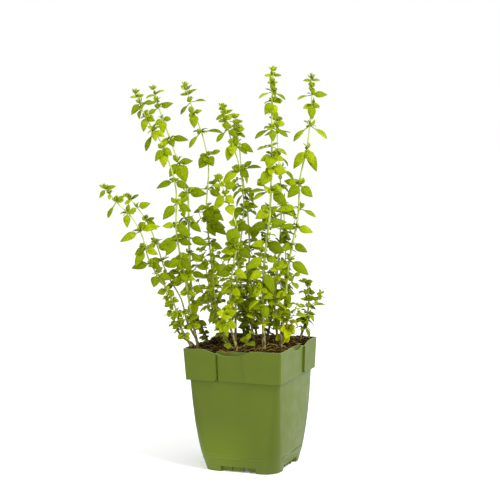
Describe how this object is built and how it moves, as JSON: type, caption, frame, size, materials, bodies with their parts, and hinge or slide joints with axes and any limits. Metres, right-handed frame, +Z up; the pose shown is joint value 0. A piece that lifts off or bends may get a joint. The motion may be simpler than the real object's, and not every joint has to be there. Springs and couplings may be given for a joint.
{
  "type": "potted herb",
  "caption": "Leafy oregano with slender upright shoots and opposite oval leaves, growing in potting mix in a tapered square green nursery pot with a stepped rim.",
  "frame": {"origin": "centre of the pot's base, on the surface it stands on", "axes": "+Z up along the pot's axis, X and Y square to the pot's faces; the pictured front is the -Y face with the +X face to its right"},
  "size_m": [0.2027, 0.173, 0.4146],
  "materials": {
    "pot": "satin moulded green plastic, faintly mottled",
    "potting_mix": "rough dark brown peat and coir fibre",
    "foliage": "soft matt yellow-green leaves on paler green stems"
  },
  "bodies": {
    "root": {"pot": "pot", "potting_mix": "potting_mix", "far_left_shoot": "foliage", "left_inner_shoot": "foliage", "left_tall_shoot": "foliage", "left_tall_rear_shoot": "foliage", "slender_shoot": "foliage", "centre_left_shoot": "foliage", "centre_rear_shoot": "foliage", "tallest_shoot": "foliage", "tallest_rear_shoot": "foliage", "right_tall_shoot": "foliage", "front_centre_shoot": "foliage", "right_rear_shoot": "foliage", "right_bushy_shoot": "foliage", "centre_left_sprig": "foliage", "centre_rear_sprig": "foliage", "centre_right_sprig": "foliage", "low_left_sprig": "foliage", "low_centre_sprig": "foliage", "low_right_sprig": "foliage", "rear_left_sprig": "foliage", "rear_right_sprig": "foliage", "rear_sprig": "foliage"}
  },
  "joints": []
}
